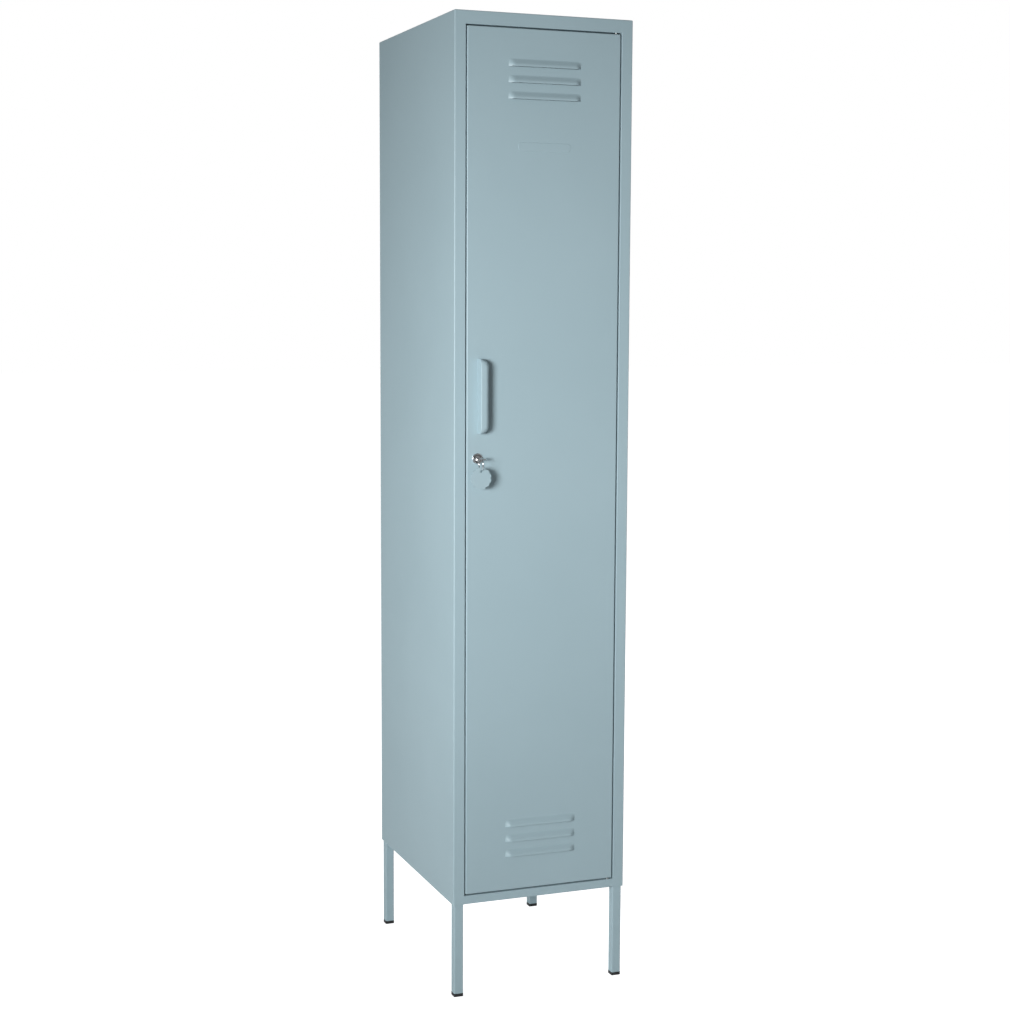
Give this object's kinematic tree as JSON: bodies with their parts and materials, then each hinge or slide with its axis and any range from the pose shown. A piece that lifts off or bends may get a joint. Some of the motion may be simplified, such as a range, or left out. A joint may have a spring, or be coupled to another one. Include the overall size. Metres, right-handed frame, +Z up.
{
  "type": "locker cabinet",
  "caption": "Slim upright sheet-steel locker on square-tube legs with a louvred hinged door, cup handle, cam lock with key, and shelves and a hanging rail inside.",
  "frame": {"origin": "on the floor, at the middle of the whole object's footprint, key ring included; the door is on the -Y side", "axes": "+Z up, +X to the right as one faces the door, +Y to the back"},
  "size_m": [0.35, 0.4932, 1.83],
  "materials": {
    "powder_coat": "fine satin powder coat, dusty grey-blue",
    "foot_plastic": "moulded black plastic",
    "black_rubber": "matt rubber",
    "zinc_steel": "zinc-plated steel",
    "bright_chrome": "bright nickel-chrome plate",
    "white_nylon": "moulded nylon"
  },
  "bodies": {
    "cabinet": {"left_side": "powder_coat", "right_side": "powder_coat", "stile_left": "powder_coat", "stile_right": "powder_coat", "back_panel": "powder_coat", "top_panel": "powder_coat", "bottom_panel": "powder_coat", "front_rail_top": "powder_coat", "front_rail_bottom": "powder_coat", "upright_front_left": "powder_coat", "upright_front_right": "powder_coat", "upright_rear_left": "powder_coat", "upright_rear_right": "powder_coat", "upper_shelf_clips": "zinc_steel", "lower_shelf_clips": "zinc_steel", "hanging_rail": "bright_chrome", "rail_bracket_left": "bright_chrome", "rail_bracket_right": "bright_chrome", "coat_hook_left": "bright_chrome", "coat_hook_right": "bright_chrome", "leg_front_left": "powder_coat", "leg_front_right": "powder_coat", "leg_rear_left": "powder_coat", "leg_rear_right": "powder_coat", "foot_front_left": "foot_plastic", "foot_front_right": "foot_plastic", "foot_rear_left": "foot_plastic", "foot_rear_right": "foot_plastic", "leg_plates": "powder_coat", "leg_bolts": "zinc_steel", "leg_nuts": "zinc_steel", "back_rivets": "powder_coat", "cable_grommet": "black_rubber", "hinge_pin_top": "zinc_steel", "hinge_pin_bottom": "zinc_steel", "door_bumpers": "black_rubber", "catch_magnet": "white_nylon"},
    "door": {"door_panel": "powder_coat", "door_stiffener": "powder_coat", "door_handle": "powder_coat", "handle_screws": "zinc_steel", "hinge_bush_top": "foot_plastic", "hinge_bush_bottom": "foot_plastic", "catch_strike": "zinc_steel", "lock_housing": "bright_chrome", "lock_nut": "zinc_steel"},
    "lock_cylinder": {"lock_plug": "bright_chrome", "lock_cam": "zinc_steel", "cam_screw": "zinc_steel"},
    "key": {"key": "bright_chrome"},
    "key_ring": {"key_ring": "bright_chrome"},
    "key_tag": {"key_tag": "powder_coat"},
    "upper_shelf": {"upper_shelf": "powder_coat"},
    "lower_shelf": {"lower_shelf": "powder_coat"}
  },
  "joints": [
    {"name": "door_hinge", "type": "hinge", "parent": "cabinet", "child": "door", "pos_m": [0.1428, -0.20867, 1], "axis": [0, 0, 1], "range_deg": [0, 110]},
    {"name": "lock_turn", "type": "hinge", "parent": "door", "child": "lock_cylinder", "pos_m": [-0.13, -0.21343, 1.024], "axis": [0, 1, 0], "range_deg": [0, 90]},
    {"name": "key_pull", "type": "slide", "parent": "lock_cylinder", "child": "key", "axis": [0, -1, 0], "range_m": [0, 0.03]},
    {"name": "ring_swing", "type": "hinge", "parent": "key", "child": "key_ring", "pos_m": [-0.13, -0.23467, 1.024], "axis": [0, 1, 0], "range_deg": [-25, 25]},
    {"name": "tag_swing", "type": "hinge", "parent": "key_ring", "child": "key_tag", "pos_m": [-0.13, -0.23467, 1.00265], "axis": [0, 1, 0], "range_deg": [-45, 45]},
    {"name": "upper_shelf_lift", "type": "slide", "parent": "cabinet", "child": "upper_shelf", "axis": [0, 0, 1], "range_m": [0, 0.04]},
    {"name": "lower_shelf_lift", "type": "slide", "parent": "cabinet", "child": "lower_shelf", "axis": [0, 0, 1], "range_m": [0, 0.04]}
  ]
}
